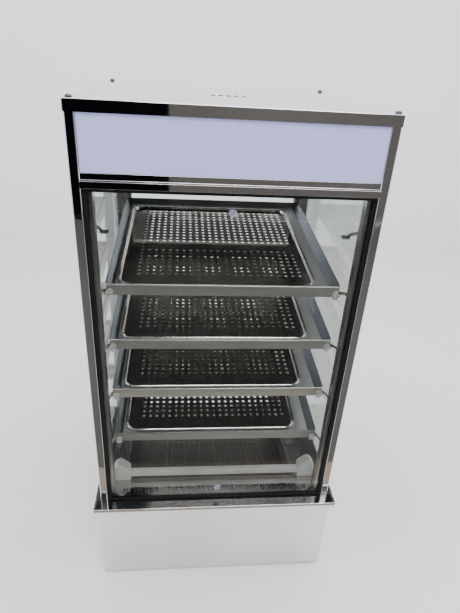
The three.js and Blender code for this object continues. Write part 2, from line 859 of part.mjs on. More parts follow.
addPiece('rear_door_frame', doorFrame(), satinSteel);
addPiece('rear_door_glass', doorGlass(), clearGlass);
addPiece('rear_door_handle', doorHandle(), mirrorSteel);
for (const [place, z] of Object.entries(HINGE_BOTTOMS)) {
  addPiece(`${place}_hinge_leaf_post`, hingeLeafPost(), satinSteel).position.z = z;
  addPiece(`${place}_hinge_leaf_door`, hingeLeafDoor(), satinSteel).position.z = z;
}
addPiece('door_catch', box(-217, -195, 462.5, DOOR.front - 0.4, 862, HEADER.bottom - 0.5), blackPlastic);

export default displayCase;
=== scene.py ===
"""Looks for a heated counter-top bakery display case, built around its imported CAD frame.

Everything is in metres, +Z up, with the customer side towards -Y.
"""

import json
import math

import bmesh
import bpy
from mathutils import Matrix, Vector


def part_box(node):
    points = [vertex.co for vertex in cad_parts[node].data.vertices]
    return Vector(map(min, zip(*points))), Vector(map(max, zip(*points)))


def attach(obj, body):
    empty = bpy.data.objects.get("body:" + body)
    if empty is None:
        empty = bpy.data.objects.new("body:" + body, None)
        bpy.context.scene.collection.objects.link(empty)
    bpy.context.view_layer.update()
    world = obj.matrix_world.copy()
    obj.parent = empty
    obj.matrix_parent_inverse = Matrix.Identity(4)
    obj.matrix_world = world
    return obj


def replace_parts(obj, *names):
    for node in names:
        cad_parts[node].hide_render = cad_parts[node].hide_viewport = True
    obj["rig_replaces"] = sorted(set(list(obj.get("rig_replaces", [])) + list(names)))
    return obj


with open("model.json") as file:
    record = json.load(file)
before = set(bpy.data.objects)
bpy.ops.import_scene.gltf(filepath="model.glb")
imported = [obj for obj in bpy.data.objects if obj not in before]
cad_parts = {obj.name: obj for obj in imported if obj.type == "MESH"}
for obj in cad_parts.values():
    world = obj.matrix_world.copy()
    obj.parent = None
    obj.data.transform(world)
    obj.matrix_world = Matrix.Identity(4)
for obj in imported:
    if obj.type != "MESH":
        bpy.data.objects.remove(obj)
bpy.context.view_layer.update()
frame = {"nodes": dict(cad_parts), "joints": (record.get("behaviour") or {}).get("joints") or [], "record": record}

MM = 0.001

# ---------------------------------------------------------------- driving sizes

SHEET = 1.2 * MM  # folded sheet steel
FOLD = 1.6 * MM  # radius of a fold in the sheet
TIGHT_FOLD = 0.5 * MM  # radius of the header rail's folds
BASE_FOLD = 2.2 * MM  # radius of the base shell's folds
BASE_FLANGE = 14 * MM  # how far the base shell turns in at the rear
LEDGE_STRIP = 28 * MM  # depth of the rim ledge's strip in front of the glass
POST_CORNER = 2.2 * MM
HEADER_SHELF = 10.2 * MM  # how far the header rail's ledge stands ahead of its face
HEADER_SHELF_TOP = 11 * MM
ROOF_LIP = 7 * MM
ROOF_CORNER = 3 * MM
ROOF_SCREW_HOLE = 2.5 * MM
SCREW_SHANK = 2 * MM
SCREW_HEAD = 4 * MM
ROOF_VENTS = 5
ROOF_VENT_PITCH = 14 * MM
ROOF_VENT_ROWS = (54 * MM, 48 * MM)  # the slots lie ahead of the roof's middle by turns
ROOF_VENT_HALF = (4 * MM, 13 * MM)
ROOF_VENT_CORNER = 3.8 * MM
SHADE_MARGIN = 1.5 * MM  # a face this far inside the shelf frame counts as an inner face
HOLE_PITCH = 14.3 * MM  # tray perforations
HOLE_RADIUS = 3.3 * MM
HOLE_COLUMNS = 23
HOLE_ROWS = 22
HOLE_SIDES = 12
SHELVES = (1, 2, 3, 4)

# The camera, against the roof's front edge.
LENS = 28.3
CAMERA_LEFT = 0.0802
CAMERA_AHEAD = 0.7413
CAMERA_ABOVE = 0.0615
CAMERA_YAW = 6.47
CAMERA_PITCH = 27.31
CAMERA_ROLL = 3.50

# ---------------------------------------------------------------- the frame's own facts

NODE_BODY = {n: b for b, nodes in frame["record"]["behaviour"]["bodies"].items() for n in nodes}
NODE_SLOT = {s["node"]: s["material_slot"] for s in frame["record"]["subparts"]}
LIFT_AXIS = Vector(next(j["axis"] for j in frame["joints"] if j["name"] == "tray_1_lift"))
SHELF_TILT = math.atan2(-LIFT_AXIS.y, LIFT_AXIS.z)


# ---------------------------------------------------------------- material kit


class Paint:
    """A Principled material and short calls that add procedural nodes to it."""

    def __init__(self, name):
        self.material = bpy.data.materials.new(name)
        self.material.use_nodes = True
        self.tree = self.material.node_tree
        self.shader = self.tree.nodes["Principled BSDF"]

    def set(self, **sockets):
        for socket, value in sockets.items():
            self.shader.inputs[socket].default_value = value
        return self

    def node(self, kind, **settings):
        made = self.tree.nodes.new(kind)
        for key, value in settings.items():
            setattr(made, key, value)
        return made

    def link(self, source, target):
        self.tree.links.new(source, target)

    def place(self, scale):
        """Coordinates in metres on the piece, times scale."""
        where = self.node("ShaderNodeTexCoord")
        mapping = self.node("ShaderNodeMapping")
        mapping.inputs["Scale"].default_value = scale
        self.link(where.outputs["Object"], mapping.inputs["Vector"])
        return mapping.outputs["Vector"]

    def noise(self, scale, detail=3.0, roughness=0.5, distortion=0.0):
        texture = self.node("ShaderNodeTexNoise")
        texture.inputs["Scale"].default_value = 1.0
        texture.inputs["Detail"].default_value = detail
        texture.inputs["Roughness"].default_value = roughness
        texture.inputs["Distortion"].default_value = distortion
        self.link(self.place(scale), texture.inputs["Vector"])
        return texture.outputs["Fac"]

    def remap(self, value, low, high, to_low, to_high):
        step = self.node("ShaderNodeMapRange")
        step.inputs["From Min"].default_value = low
        step.inputs["From Max"].default_value = high
        step.inputs["To Min"].default_value = to_low
        step.inputs["To Max"].default_value = to_high
        self.link(value, step.inputs["Value"])
        return step.outputs["Result"]

    def shade(self, value, dark, light):
        """The base colour runs from dark to light with value."""
        mix = self.node("ShaderNodeMix", data_type="RGBA")
        mix.inputs["A"].default_value = (*dark, 1)
        mix.inputs["B"].default_value = (*light, 1)
        self.link(value, mix.inputs["Factor"])
        self.link(mix.outputs["Result"], self.shader.inputs["Base Color"])
        return self

    def rough(self, value):
        self.link(value, self.shader.inputs["Roughness"])
        return self

    def bump(self, value, height, strength=1.0):
        made = self.node("ShaderNodeBump")
        made.inputs["Strength"].default_value = strength
        made.inputs["Distance"].default_value = height
        self.link(value, made.inputs["Height"])
        if self.shader.inputs["Normal"].is_linked:
            before = self.shader.inputs["Normal"].links[0].from_socket
            self.link(before, made.inputs["Normal"])
        self.link(made.outputs["Normal"], self.shader.inputs["Normal"])
        return self


def mirror_steel():
    paint = Paint("mirror_steel").set(Metallic=1.0)
    haze = paint.noise((5, 5, 5), detail=4)
    smears = paint.noise((14, 14, 60), detail=5, distortion=0.6)
    paint.shade(paint.remap(haze, 0.35, 0.7, 0, 1), (0.67, 0.67, 0.67), (0.75, 0.75, 0.76))
    paint.rough(paint.remap(smears, 0.45, 0.8, 0.03, 0.10))
    paint.bump(paint.noise((2.2, 2.2, 2.2), detail=1), 0.25 * MM)
    return paint.material


def satin_steel(name, streaks, dark, light, low, high):
    """Brushed steel with streaks along one axis, given as noise scales."""
    paint = Paint(name).set(Metallic=1.0)
    grain = paint.noise(streaks, detail=4, roughness=0.7)
    cloud = paint.noise((7, 7, 7), detail=3)
    paint.shade(paint.remap(cloud, 0.3, 0.7, 0, 1), dark, light)
    paint.rough(paint.remap(grain, 0.3, 0.7, low, high))
    paint.bump(grain, 0.02 * MM, 0.6)
    return paint.material


def tray_steel():
    paint = Paint("tray_steel").set(Metallic=1.0)
    wear = paint.noise((26, 9, 26), detail=6, roughness=0.65)
    paint.shade(paint.remap(wear, 0.3, 0.7, 0, 1), (0.45, 0.42, 0.395), (0.60, 0.57, 0.54))
    paint.rough(paint.remap(wear, 0.3, 0.75, 0.03, 0.11))
    return paint.material


def element_steel():
    paint = Paint("element_steel").set(Metallic=1.0)
    scale_marks = paint.noise((60, 60, 60), detail=5)
    paint.shade(paint.remap(scale_marks, 0.3, 0.7, 0, 1), (0.10, 0.08, 0.07), (0.26, 0.23, 0.21))
    paint.rough(paint.remap(scale_marks, 0.3, 0.7, 0.4, 0.65))
    return paint.material


def clear_glass(name, dark, light):
    paint = Paint(name).set(**{"Transmission Weight": 1.0, "IOR": 1.46})
    film = paint.noise((3, 3, 8), detail=4, distortion=0.4)
    paint.shade(paint.remap(film, 0.4, 0.7, 0, 1), dark, light)
    paint.rough(paint.remap(film, 0.5, 0.85, 0.0, 0.03))
    return paint.material


def sign_acrylic():
    paint = Paint("sign_acrylic").set(
        **{
            "Subsurface Weight": 0.35,
            "Subsurface Radius": (0.006, 0.006, 0.007),
            "Coat Weight": 0.25,
            "Coat Roughness": 0.12,
            "Specular IOR Level": 0.35,
        }
    )
    cloud = paint.noise((2.5, 2.5, 4), detail=2)
    paint.shade(paint.remap(cloud, 0.3, 0.7, 0, 1), (0.475, 0.50, 0.82), (0.505, 0.53, 0.85))
    paint.rough(paint.remap(paint.noise((900, 900, 900)), 0.3, 0.7, 0.30, 0.40))
    return paint.material


def black_rubber():
    paint = Paint("black_rubber").set(**{"Specular IOR Level": 0.2})
    grain = paint.noise((700, 700, 700), detail=3)
    paint.shade(paint.remap(grain, 0.3, 0.7, 0, 1), (0.004, 0.004, 0.005), (0.012, 0.012, 0.013))
    paint.rough(paint.remap(grain, 0.3, 0.7, 0.38, 0.6))
    paint.bump(grain, 0.05 * MM, 0.4)
    return paint.material


def white_plastic():
    paint = Paint("white_plastic").set(
        **{"Subsurface Weight": 0.25, "Subsurface Radius": (0.004, 0.004, 0.003)}
    )
    cloud = paint.noise((30, 30, 30), detail=3)
    paint.shade(paint.remap(cloud, 0.3, 0.7, 0, 1), (0.70, 0.70, 0.66), (0.80, 0.80, 0.77))
    paint.rough(paint.remap(cloud, 0.3, 0.7, 0.28, 0.42))
    return paint.material


def black_plastic():
    paint = Paint("black_plastic")
    grain = paint.noise((1400, 1400, 1400), detail=2)
    paint.shade(paint.remap(grain, 0.3, 0.7, 0, 1), (0.014, 0.014, 0.015), (0.03, 0.03, 0.031))
    paint.rough(paint.remap(grain, 0.3, 0.7, 0.34, 0.5))
    paint.bump(grain, 0.04 * MM, 0.5)
    return paint.material


def clear_plastic():
    paint = Paint("clear_plastic").set(**{"Transmission Weight": 0.55, "IOR": 1.45})
    cloud = paint.noise((250, 250, 250), detail=2)
    paint.shade(paint.remap(cloud, 0.3, 0.7, 0, 1), (0.40, 0.38, 0.52), (0.56, 0.54, 0.66))
    paint.rough(paint.remap(cloud, 0.3, 0.7, 0.15, 0.3))
    return paint.material


def red_lens():
    paint = Paint("red_lens").set(**{"Transmission Weight": 0.4, "IOR": 1.49})
    cloud = paint.noise((300, 300, 300), detail=2)
    paint.shade(paint.remap(cloud, 0.3, 0.7, 0, 1), (0.38, 0.02, 0.012), (0.55, 0.04, 0.02))
    paint.rough(paint.remap(cloud, 0.3, 0.7, 0.1, 0.22))
    return paint.material


STREAKS_X = (6, 500, 500)  # noise scales that draw the brushing out along one axis
STREAKS_Y = (500, 6, 500)
STREAKS_Z = (500, 500, 6)
SATIN_DARK = (0.47, 0.46, 0.44)
SATIN_LIGHT = (0.57, 0.56, 0.54)

FINISH = {
    "mirror_steel": mirror_steel(),
    "satin_steel": satin_steel("satin_steel", STREAKS_X, SATIN_DARK, SATIN_LIGHT, 0.24, 0.40),
    "tray_steel": tray_steel(),
    "element_steel": element_steel(),
    "clear_glass": clear_glass("clear_glass", (0.92, 0.95, 0.935), (0.95, 0.975, 0.965)),
    "sign_acrylic": sign_acrylic(),
    "black_rubber": black_rubber(),
    "white_plastic": white_plastic(),
    "black_plastic": black_plastic(),
    "clear_plastic": clear_plastic(),
    "red_lens": red_lens(),
}
# A darker copy of the clear glass for the side panes: painted shade.
SIDE_GLASS_PAINTED_SHADE = clear_glass("side_glass_painted_shade", (0.56, 0.59, 0.57), (0.64, 0.665, 0.65))
# A lighter copy of the satin steel for the shelf flanges: a painted highlight.
FLANGE_PAINTED_LIGHT = satin_steel("flange_painted_light", STREAKS_Y, (0.70, 0.71, 0.71), (0.80, 0.81, 0.81), 0.35, 0.5)
SHADED_STEEL = satin_steel("shaded_steel", STREAKS_Y, (0.15, 0.165, 0.19), (0.23, 0.245, 0.27), 0.25, 0.4)
# A lighter copy of the satin steel for the upper shelves' front rails: a painted highlight.
RAIL_PAINTED_HIGHLIGHT = satin_steel("rail_painted_highlight", STREAKS_X, (0.80, 0.79, 0.76), (0.92, 0.91, 0.88), 0.24, 0.4)
# A darker copy for the lowest shelf's front rail: painted shade.
RAIL_PAINTED_SHADE = satin_steel("rail_painted_shade", STREAKS_X, (0.27, 0.265, 0.25), (0.33, 0.32, 0.31), 0.24, 0.4)
# A dark copy of the satin steel for the rim ledge's front strip: painted shade.
LEDGE_PAINTED_SHADE = satin_steel("ledge_painted_shade", STREAKS_X, (0.17, 0.165, 0.16), (0.24, 0.235, 0.23), 0.04, 0.12)
# A near-black steel for the chrome screw heads: a painted dark reflection.
SCREW_PAINTED_REFLECTION = satin_steel("screw_painted_reflection", (300, 300, 300), (0.05, 0.05, 0.05), (0.12, 0.12, 0.12), 0.15, 0.3)
# A near-black copy of the satin steel: painted shade for undersides and the shelf wires.
UNDERSIDE_PAINTED_SHADE = satin_steel("underside_painted_shade", (6, 300, 300), (0.06, 0.055, 0.05), (0.09, 0.085, 0.08), 0.3, 0.5)
SATIN_UPRIGHT = satin_steel("satin_steel_upright", STREAKS_Z, SATIN_DARK, SATIN_LIGHT, 0.24, 0.40)


# ---------------------------------------------------------------- mesh kit


def add_object(name, mesh):
    made = bpy.data.objects.new(name, mesh)
    bpy.context.scene.collection.objects.link(made)
    return made


def from_bmesh(name, bm):
    mesh = bpy.data.meshes.new(name)
    bmesh.ops.recalc_face_normals(bm, faces=bm.faces)
    bm.to_mesh(mesh)
    bm.free()
    return add_object(name, mesh)


def smooth(piece, angle=35):
    """Smooth shading that keeps the flats flat and the hard edges hard."""
    for polygon in piece.data.polygons:
        polygon.use_smooth = True
    piece.data.set_sharp_from_angle(angle=math.radians(angle))
    level = piece.modifiers.new("flats", "WEIGHTED_NORMAL")
    level.keep_sharp = True
    return piece


def soften(piece, width, segments=3, angle=30):
    """Rounds a piece's edges and keeps its flats flat."""
    rounding = piece.modifiers.new("edges", "BEVEL")
    rounding.width = width
    rounding.segments = segments
    rounding.limit_method = "ANGLE"
    rounding.angle_limit = math.radians(angle)
    for polygon in piece.data.polygons:
        polygon.use_smooth = True
    level = piece.modifiers.new("flats", "WEIGHTED_NORMAL")
    level.weight = 100
    return piece


def dress(piece, body, slot, material=None):
    piece.data.materials.clear()
    piece.data.materials.append(material or FINISH[slot])
    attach(piece, body)
    return piece


def dress_for(piece, *nodes, material=None):
    """The piece stands for these CAD nodes, with the first one's body and slot."""
    dress(piece, NODE_BODY[nodes[0]], NODE_SLOT[nodes[0]], material)
    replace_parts(piece, *nodes)
    return piece


def refined(node, width, segments=3, material=None, cut_y=None):
    """A copy of a CAD node with its flats merged, its edges rounded and its faces cut at one y."""
    bm = bmesh.new()
    bm.from_mesh(frame["nodes"][node].data)
    bmesh.ops.remove_doubles(bm, verts=bm.verts, dist=0.002 * MM)
    bmesh.ops.dissolve_limit(
        bm, angle_limit=math.radians(1), verts=bm.verts, edges=bm.edges, use_dissolve_boundaries=False
    )
    if cut_y is not None:
        geometry = bm.verts[:] + bm.edges[:] + bm.faces[:]
        bmesh.ops.bisect_plane(bm, geom=geometry, plane_co=(0, cut_y, 0), plane_no=(0, 1, 0))
    piece = from_bmesh(f"{node}_fine", bm)
    soften(piece, width, segments)
    return dress_for(piece, node, material=material)


def box_piece(name, low, high):
    bm = bmesh.new()
    bmesh.ops.create_cube(bm, size=1)
    low, high = Vector(low), Vector(high)
    for vertex in bm.verts:
        vertex.co = low + (high - low) * 0.5 + Vector(a * b for a, b in zip(vertex.co, high - low))
    return from_bmesh(name, bm)


def lathe(name, profile, sides=32, axis="Z"):
    """A turned solid. The profile is (radius, height) pairs that start and end at radius 0."""
    bm = bmesh.new()
    rings = []
    for radius, height in profile:
        if radius == 0:
            rings.append([bm.verts.new((0, 0, height))])
            continue
        steps = (2 * math.pi * k / sides for k in range(sides))
        rings.append([bm.verts.new((radius * math.cos(t), radius * math.sin(t), height)) for t in steps])
    for lower, upper in zip(rings, rings[1:]):
        for k in range(sides):
            n = (k + 1) % sides
            near = [lower[k % len(lower)], lower[n % len(lower)]]
            far = [upper[n % len(upper)], upper[k % len(upper)]]
            unique = list(dict.fromkeys(near + far))
            if len(unique) > 2:
                bm.faces.new(unique)
    turn = {"X": Matrix.Rotation(math.pi / 2, 4, "Y"), "Y": Matrix.Rotation(-math.pi / 2, 4, "X")}
    if axis in turn:
        bmesh.ops.transform(bm, matrix=turn[axis], verts=bm.verts)
    piece = from_bmesh(name, bm)
    smooth(piece)
    return piece


def fillet_line(points, radius, steps=5):
    """A line of 2D points with each inner corner rounded."""
    points = [Vector(p) for p in points]
    line = [points[0]]
    for before, corner, after in zip(points, points[1:], points[2:]):
        back = (before - corner).normalized()
        ahead = (after - corner).normalized()
        half = back.angle(ahead) / 2
        reach = radius / math.tan(half)
        centre = corner + (back + ahead).normalized() * (radius / math.sin(half))
        start = corner + back * reach - centre
        stop = corner + ahead * reach - centre
        turn = start.angle_signed(stop)
        for k in range(steps + 1):
            spin = Matrix.Rotation(-turn * k / steps, 2)
            line.append(centre + spin @ start)
    line.append(points[-1])
    return line


def offset_line(line, distance):
    """The same line moved to its left by distance."""
    moved = []
    for i, point in enumerate(line):
        before = (point - line[i - 1]).normalized() if i else None
        after = (line[i + 1] - point).normalized() if i + 1 < len(line) else None
        along = ((before or after) + (after or before)).normalized()
        left = Vector((-along.y, along.x))
        stretch = 1 / max(0.3, left.dot(Vector((-(before or after).y, (before or after).x))))
        moved.append(point + left * distance * stretch)
    return moved


AXES = {
    "X": lambda a, b, along: (along, a, b),
    "Z": lambda a, b, along: (a, b, along),
}


def folded_sheet(name, points, radius, axis, start, stop, thickness=SHEET):
    """Sheet metal folded along a 2D line and drawn out along X or Z.

    The line is the outer face, and the sheet lies to its left.
    """
    outer = fillet_line(points, radius)
    inner = offset_line(outer, thickness)
    loop = outer + inner[::-1]
    to_world = AXES[axis]
    bm = bmesh.new()
    ends = [[bm.verts.new(to_world(p.x, p.y, along)) for p in loop] for along in (start, stop)]
    count = len(loop)
    for i in range(count):
        j = (i + 1) % count
        bm.faces.new((ends[0][i], ends[0][j], ends[1][j], ends[1][i]))
    half = len(outer)
    for i in range(half - 1):
        a, b, c, d = i, i + 1, count - 2 - i, count - 1 - i
        for end in ends:
            bm.faces.new((end[a], end[b], end[c], end[d]))
    piece = from_bmesh(name, bm)
    smooth(piece, 30)
    return piece


def rounded_loop(x0, x1, y0, y1, radius, steps=8):
    """Points round a rectangle with round corners, anticlockwise."""
    corners = [
        (x1 - radius, y0 + radius, -90),
        (x1 - radius, y1 - radius, 0),
        (x0 + radius, y1 - radius, 90),
        (x0 + radius, y0 + radius, 180),
    ]
    loop = []
    for cx, cy, start in corners:
        for k in range(steps + 1):
            t = math.radians(start + 90 * k / steps)
            loop.append((cx + radius * math.cos(t), cy + radius * math.sin(t)))
    return loop


def bridge_loops(bm, lower, upper):
    count = len(lower)
    for i in range(count):
        j = (i + 1) % count
        bm.faces.new((lower[i], lower[j], upper[j], upper[i]))


def loop_verts(bm, loop, z):
    return [bm.verts.new((x, y, z)) for x, y in loop]


# ---------------------------------------------------------------- stage, light and camera


def stage_paint(name, scale, detail, dark, light, **settings):
    """A plain paint with a faint cloud in it."""
    paint = Paint(name)
    paint.shade(paint.noise((scale, scale, scale), detail=detail), dark, light)
    return paint.set(**settings)


def show_in_mirrors_only(paint):
    """The card shows in a reflection, and a ray that has met no mirror passes through it."""
    path = paint.node("ShaderNodeLightPath")
    clear = paint.node("ShaderNodeBsdfTransparent")
    mix = paint.node("ShaderNodeMixShader")
    paint.link(path.outputs["Glossy Depth"], mix.inputs["Fac"])
    paint.link(clear.outputs["BSDF"], mix.inputs[1])
    paint.link(paint.shader.outputs["BSDF"], mix.inputs[2])
    paint.link(mix.outputs["Shader"], paint.tree.nodes["Material Output"].inputs["Surface"])


def build_room():
    floor = box_piece("floor", (-4, -4, -0.05), (4, 2.2, -0.0005))
    wall = box_piece("backdrop", (-4, 2.0, -0.05), (4, 2.05, 4))
    boards = stage_paint("floor", 1.3, 3, (0.70, 0.685, 0.665), (0.74, 0.725, 0.705), Roughness=0.75)
    plaster = stage_paint("backdrop", 0.8, 2, (0.80, 0.80, 0.82), (0.83, 0.83, 0.85), Roughness=0.9)
    floor.data.materials.append(boards.material)
    wall.data.materials.append(plaster.material)


def build_cards():
    """Dark cards that show only in the reflections of the steel and the glass."""
    dull = {"Roughness": 0.9}
    behind = stage_paint("card", 0.9, 2, (0.055, 0.048, 0.042), (0.10, 0.09, 0.08), **dull)
    high = stage_paint("dark_card", 0.9, 2, (0.016, 0.015, 0.014), (0.030, 0.028, 0.026), **dull)
    below = stage_paint("floor_card", 2, 2, (0.05, 0.046, 0.042), (0.075, 0.07, 0.064), **dull)
    near = stage_paint("warm_card", 2, 2, (0.20, 0.155, 0.115), (0.26, 0.20, 0.15), **dull)
    left = stage_paint("black_card", 2, 2, (0.001, 0.001, 0.0015), (0.003, 0.003, 0.004))
    left.set(**{"Specular IOR Level": 0.0})
    cards = [
        (box_piece("card_behind", (-3.5, -3.0, 0.0), (3.5, -2.95, 3.4)), behind),
        (box_piece("card_below", (-2.6, -2.9, 0.0), (2.6, -0.54, 0.002)), below),
        (box_piece("card_near", (-2.6, -0.54, 0.0), (2.6, -0.44, 0.002)), near),
        (box_piece("card_high", (-2.6, 1.97, 1.75), (2.6, 1.98, 3.9)), high),
        (box_piece("card_left", (-2.6, -1.7, 0.38), (-0.14, -1.65, 1.5)), left),
    ]
    for card, paint in cards:
        show_in_mirrors_only(paint)
        card.data.materials.append(paint.material)
        card.visible_camera = False
        card.visible_shadow = False
        card.visible_diffuse = False


def area_light(name, location, target, size, energy, colour):
    lamp = bpy.data.lights.new(name, "AREA")
    lamp.shape = "RECTANGLE"
    lamp.size, lamp.size_y = size
    lamp.energy = energy
    lamp.color = colour
    holder = bpy.data.objects.new(name, lamp)
    bpy.context.scene.collection.objects.link(holder)
    holder.location = location
    aim = Vector(target) - Vector(location)
    holder.rotation_euler = aim.to_track_quat("-Z", "Y").to_euler()
    return holder


def build_light():
    world = bpy.data.worlds.new("studio")
    world.use_nodes = True
    background = world.node_tree.nodes["Background"]
    background.inputs["Color"].default_value = (0.86, 0.90, 1.0, 1)
    background.inputs["Strength"].default_value = 0.9
    bpy.context.scene.world = world
    area_light("overhead", (0.2, 0.3, 3.2), (0, 0, 0.5), (3.2, 3.2), 105, (1.0, 0.99, 0.97))
    area_light("window", (-2.9, -0.6, 1.9), (0, 0, 0.6), (1.8, 2.2), 75, (0.93, 0.96, 1.0))
    area_light("front", (0.4, -1.9, 2.9), (0, 0, 0.7), (1.6, 1.2), 45, (1.0, 0.99, 0.98))
    area_light("fill", (2.9, -0.2, 1.7), (0, 0, 0.6), (1.8, 2.2), 60, (1.0, 0.98, 0.95))


def build_camera():
    _, roof_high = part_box("roof_cap")
    post_low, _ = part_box("post_front_left")
    yaw, pitch, roll = (math.radians(a) for a in (CAMERA_YAW, CAMERA_PITCH, CAMERA_ROLL))
    ahead = Vector(
        (math.sin(yaw) * math.cos(pitch), math.cos(yaw) * math.cos(pitch), -math.sin(pitch))
    )
    level = Vector((math.cos(yaw), -math.sin(yaw), 0))
    up = level.cross(ahead)
    right = level * math.cos(roll) + up * math.sin(roll)
    top = up * math.cos(roll) - level * math.sin(roll)
    lens = bpy.data.cameras.new("camera")
    lens.lens = LENS
    lens.clip_start = 0.01
    camera = bpy.data.objects.new("camera", lens)
    bpy.context.scene.collection.objects.link(camera)
    spot = Vector((-CAMERA_LEFT, post_low.y - CAMERA_AHEAD, roof_high.z + CAMERA_ABOVE))
    axes = Matrix((right, top, -ahead)).transposed().to_4x4()
    camera.matrix_world = Matrix.Translation(spot) @ axes
    bpy.context.scene.camera = camera


# ---------------------------------------------------------------- base and rim


def build_base():
    low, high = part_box("base_shell")
    points = [
        (low.x + BASE_FLANGE, high.y),
        (low.x, high.y),
        (low.x, low.y),
        (high.x, low.y),
        (high.x, high.y),
        (high.x - BASE_FLANGE, high.y),
    ]
    shell = folded_sheet("base_shell_fine", points, BASE_FOLD, "Z", low.z, high.z)
    dress_for(shell, "base_shell")
    low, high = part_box("rim_ledge")
    cut_y = low.y + LEDGE_STRIP
    ledge = refined("rim_ledge", 0.7 * MM, cut_y=cut_y)
    shade_front_strip(ledge, cut_y, high.z)
    for end in ("front", "rear"):
        for side in ("left", "right"):
            refined(f"foot_{end}_{side}", 0.5 * MM)
    refined("base_bottom_plate", 0.25 * MM, 1)
    refined("base_rear_panel", 0.25 * MM, 2)


def shade_front_strip(ledge, cut_y, top):
    """The strip in front of the glass gets painted shade, darker than the strips beside it."""
    ledge.data.materials.append(LEDGE_PAINTED_SHADE)
    for polygon in ledge.data.polygons:
        if polygon.center.y < cut_y and polygon.normal.z > 0.5 and polygon.center.z < top - 1 * MM:
            polygon.material_index = 1


# ---------------------------------------------------------------- posts, header and roof


def rounded_bar(name, low, high, radius):
    """A square post with round corners and slightly eased ends."""
    ease = 0.3 * MM
    bm = bmesh.new()
    rings = []
    for inset, z in ((ease, low.z), (0, low.z + ease), (0, high.z - ease), (ease, high.z)):
        x0, x1 = low.x + inset, high.x - inset
        y0, y1 = low.y + inset, high.y - inset
        rings.append(loop_verts(bm, rounded_loop(x0, x1, y0, y1, radius - inset, 5), z))
    for lower, upper in zip(rings, rings[1:]):
        bridge_loops(bm, lower, upper)
    bm.faces.new(rings[0])
    bm.faces.new(rings[-1])
    piece = from_bmesh(name, bm)
    return smooth(piece)


def build_posts():
    for node in ("post_front_left", "post_front_right", "post_rear_left", "post_rear_right"):
        low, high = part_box(node)
        dress_for(rounded_bar(f"{node}_fine", low, high, POST_CORNER), node)


def build_header():
    low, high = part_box("header_rail")
    face = low.y + HEADER_SHELF
    ledge = low.z + HEADER_SHELF_TOP
    points = [
        (high.y, high.z),
        (face, high.z),
        (face, ledge),
        (low.y, ledge),
        (low.y, low.z),
        (face, low.z),
    ]
    rail = folded_sheet("header_rail_fine", points, TIGHT_FOLD, "X", low.x, high.x)
    dress_for(rail, "header_rail")
    refined("sign_panel", 0.5 * MM)
    box = refined("header_box", 0.3 * MM, 1)
    # Painted shade on the header box's underside.
    box.data.materials.append(UNDERSIDE_PAINTED_SHADE)
    for polygon in box.data.polygons:
        if polygon.normal.z < -0.5:
            polygon.material_index = 1
    refined("sign_lamp", 1.0 * MM)


def circle(x, y, radius, sides):
    steps = (2 * math.pi * k / sides for k in range(sides))
    return [(x + radius * math.cos(t), y + radius * math.sin(t)) for t in steps]


def fill_between(bm, outline, holes):
    """Faces between an outline and the holes inside it, all at one height."""
    edges = []
    for loop in (outline, *holes):
        for a, b in zip(loop, loop[1:] + loop[:1]):
            edges.append(bm.edges.get((a, b)) or bm.edges.new((a, b)))
    bmesh.ops.triangle_fill(bm, edges=edges, use_beauty=True)


def roof_holes(low, high):
    """The four screw holes and the row of staggered vent slots, as outlines."""
    holes = []
    for node in ("front_left", "front_right", "rear_left", "rear_right"):
        a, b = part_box(f"roof_screw_{node}")
        centre = (a + b) / 2
        holes.append(circle(centre.x, centre.y, ROOF_SCREW_HOLE, 12))
    middle = (low.y + high.y) / 2
    for k in range(ROOF_VENTS):
        x = (k - (ROOF_VENTS - 1) / 2) * ROOF_VENT_PITCH
        y = middle - ROOF_VENT_ROWS[k % 2]
        across, along = ROOF_VENT_HALF
        slot = rounded_loop(x - across, x + across, y - along, y + along, ROOF_VENT_CORNER)
        holes.append(slot)
    return holes


def build_roof():
    low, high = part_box("roof_cap")

    def loop(inset):
        radius = max(0.5 * MM, ROOF_CORNER - inset)
        return rounded_loop(low.x + inset, high.x - inset, low.y + inset, high.y - inset, radius)

    bm = bmesh.new()
    outer = [(SHEET, low.z), (0, low.z)]
    for k in range(6):
        t = math.radians(90 * k / 5)
        outer.append((FOLD * (1 - math.cos(t)), high.z - FOLD * (1 - math.sin(t))))
    inner = [(SHEET + 0.4 * MM, high.z - SHEET), (SHEET, high.z - FOLD), (SHEET, low.z + SHEET)]
    inner += [(ROOF_LIP, low.z + SHEET), (ROOF_LIP, low.z), (SHEET, low.z)]
    rings = [loop_verts(bm, loop(inset), z) for inset, z in outer]
    under = [loop_verts(bm, loop(inset), z) for inset, z in inner[:-1]]
    for a, b in zip(rings, rings[1:]):
        bridge_loops(bm, a, b)
    for a, b in zip(under, under[1:]):
        bridge_loops(bm, a, b)
    bridge_loops(bm, under[-1], rings[0])
    holes = roof_holes(low, high)
    top_holes = [loop_verts(bm, hole, high.z) for hole in holes]
    under_holes = [loop_verts(bm, hole, high.z - SHEET) for hole in holes]
    for a, b in zip(top_holes, under_holes):
        bridge_loops(bm, a, b)
    fill_between(bm, rings[-1], top_holes)
    fill_between(bm, under[0], under_holes)
    roof = from_bmesh("roof_cap_fine", bm)
    dress_for(smooth(roof), "roof_cap")
    for end in ("front", "rear"):
        for side in ("left", "right"):
            build_roof_screw(f"roof_screw_{end}_{side}")


